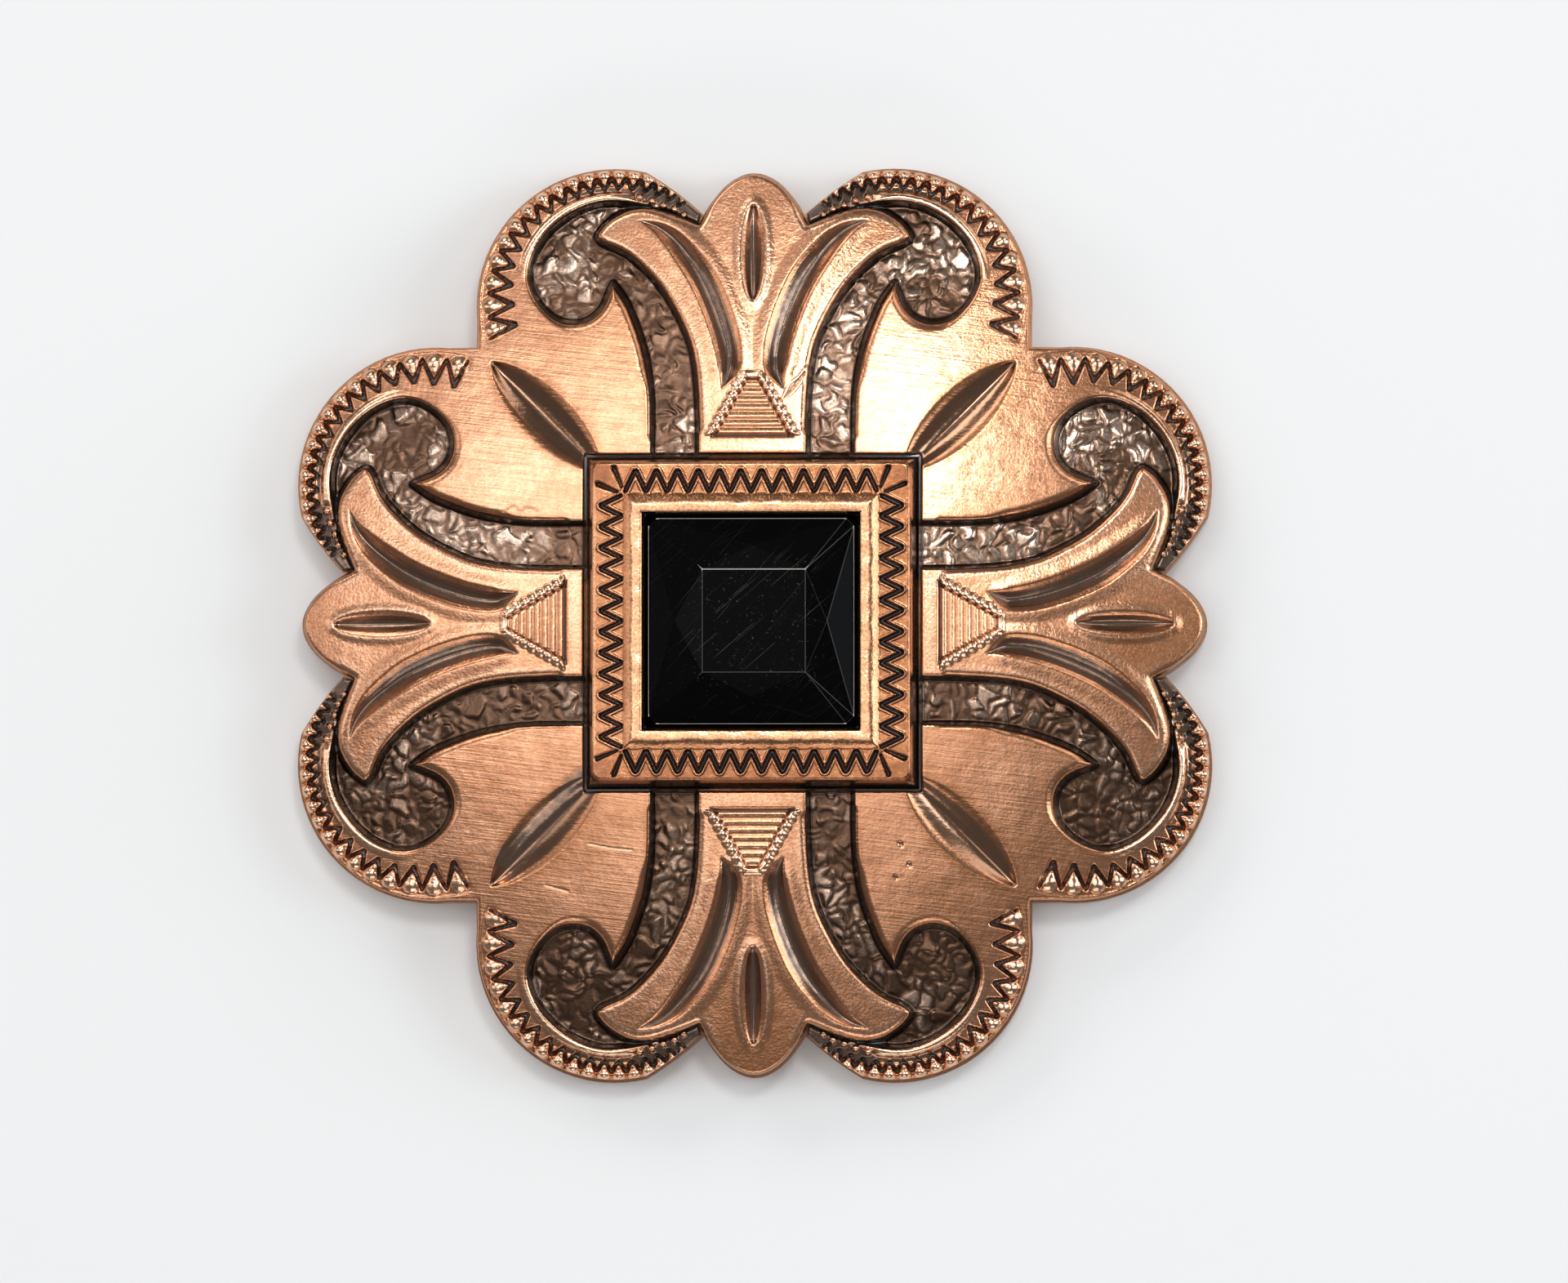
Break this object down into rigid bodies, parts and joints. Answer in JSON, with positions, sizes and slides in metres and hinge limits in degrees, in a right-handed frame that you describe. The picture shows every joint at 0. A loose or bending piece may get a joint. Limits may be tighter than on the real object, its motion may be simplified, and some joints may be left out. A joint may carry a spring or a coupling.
{
  "type": "concho",
  "caption": "Domed, eight-lobed antiqued copper concho with tulip and scroll relief round a square bezel that holds a faceted black stone, fastened by a screw from behind.",
  "frame": {"origin": "middle of the rim's flat underside, where the concho rests face up", "axes": "+Z out of the face, towards the viewer; tulips on +X, -X, +Y and -Y; the picture's top is +Y"},
  "size_m": [0.0358, 0.0358, 0.0066],
  "materials": {
    "pebbled_copper": "dark oxidised, pebbled ground",
    "bezel_copper": "antiqued copper, satin, dark in its lines",
    "panel_copper": "antiqued copper, satin, dark in its lines",
    "tulip_copper": "antiqued copper, satin, dark in its grooves",
    "back_copper": "plain cast copper, dull",
    "black_stone": "polished, opaque"
  },
  "bodies": {
    "root": {"ground_plate": "pebbled_copper", "bezel_frame": "bezel_copper", "stone": "black_stone", "back_post": "back_copper", "scroll_panel_back_left": "panel_copper", "scroll_panel_back_right": "panel_copper", "scroll_panel_front_left": "panel_copper", "scroll_panel_front_right": "panel_copper", "tulip_back": "tulip_copper", "tulip_front": "tulip_copper", "tulip_left": "tulip_copper", "tulip_right": "tulip_copper"}
  },
  "joints": []
}
